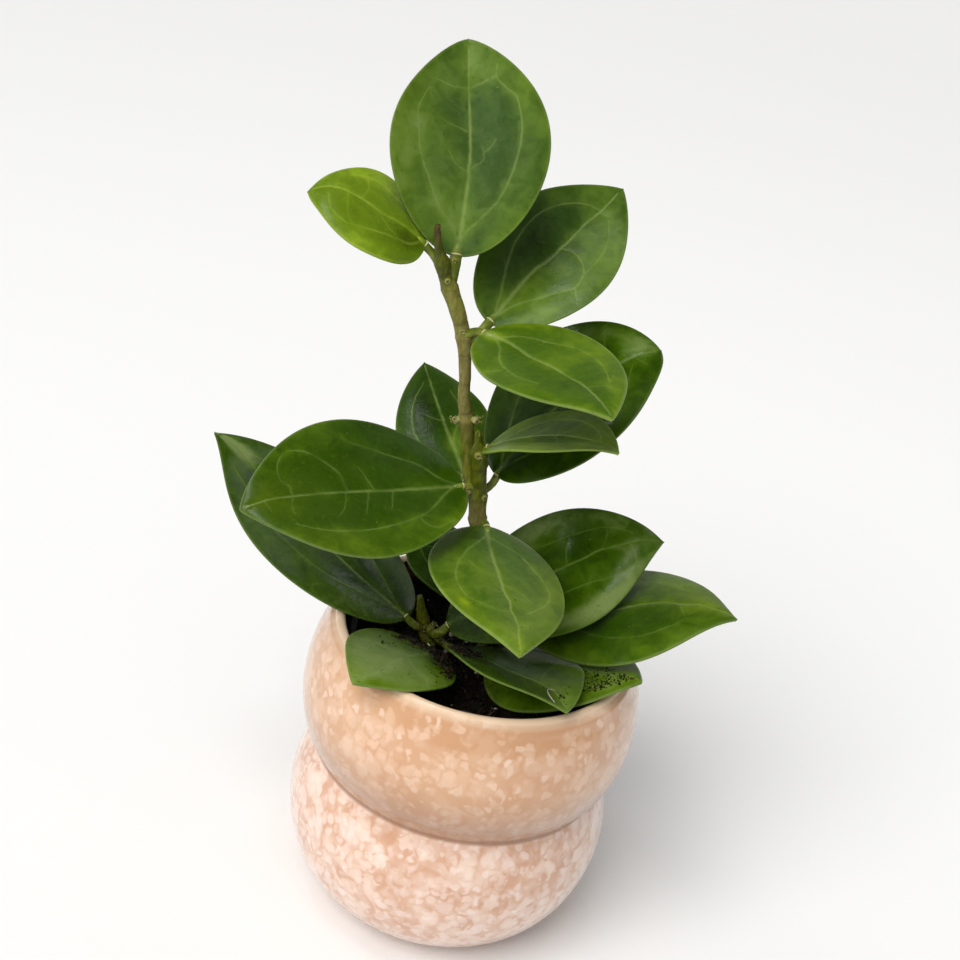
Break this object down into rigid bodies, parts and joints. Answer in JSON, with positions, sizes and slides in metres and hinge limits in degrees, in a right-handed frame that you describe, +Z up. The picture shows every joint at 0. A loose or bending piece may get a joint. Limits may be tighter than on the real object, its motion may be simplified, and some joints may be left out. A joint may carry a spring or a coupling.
{
  "type": "potted hoya plant",
  "caption": "Upright hoya with thick pointed oval leaves on woody stems, in a dark grow pot inside a glossy speckled peach ceramic pot with stacked bulges.",
  "frame": {"origin": "middle of the ceramic pot's flat foot, on the surface it stands on", "axes": "+Z up along the pot's axis, -Y is the front that the picture shows, +X to the right seen from the front"},
  "size_m": [0.2081, 0.1375, 0.3265],
  "materials": {
    "glaze": "gloss",
    "grow_pot_plastic": "satin",
    "potting_soil": "matte",
    "stem": "satin",
    "leaf_mature": "gloss",
    "leaf_fresh": "gloss",
    "leaf_young": "gloss",
    "leaf_dark": "gloss"
  },
  "bodies": {
    "root": {"ceramic_pot": "glaze", "grow_pot": "grow_pot_plastic", "soil": "potting_soil", "stem_main": "stem", "stem_stub": "stem", "leaf_top": "leaf_mature", "leaf_young": "leaf_young", "leaf_upper_right": "leaf_mature", "leaf_light_right": "leaf_fresh", "leaf_back_right": "leaf_dark", "leaf_curled": "leaf_fresh", "leaf_back_left": "leaf_mature", "leaf_big_left": "leaf_mature", "leaf_front": "leaf_fresh", "leaf_far_left": "leaf_dark", "leaf_arched_right": "leaf_dark", "leaf_far_right": "leaf_mature", "leaf_rim_left": "leaf_mature", "leaf_rim_centre": "leaf_mature", "leaf_rim_right": "leaf_mature", "leaf_low_back": "leaf_dark"}
  },
  "joints": []
}
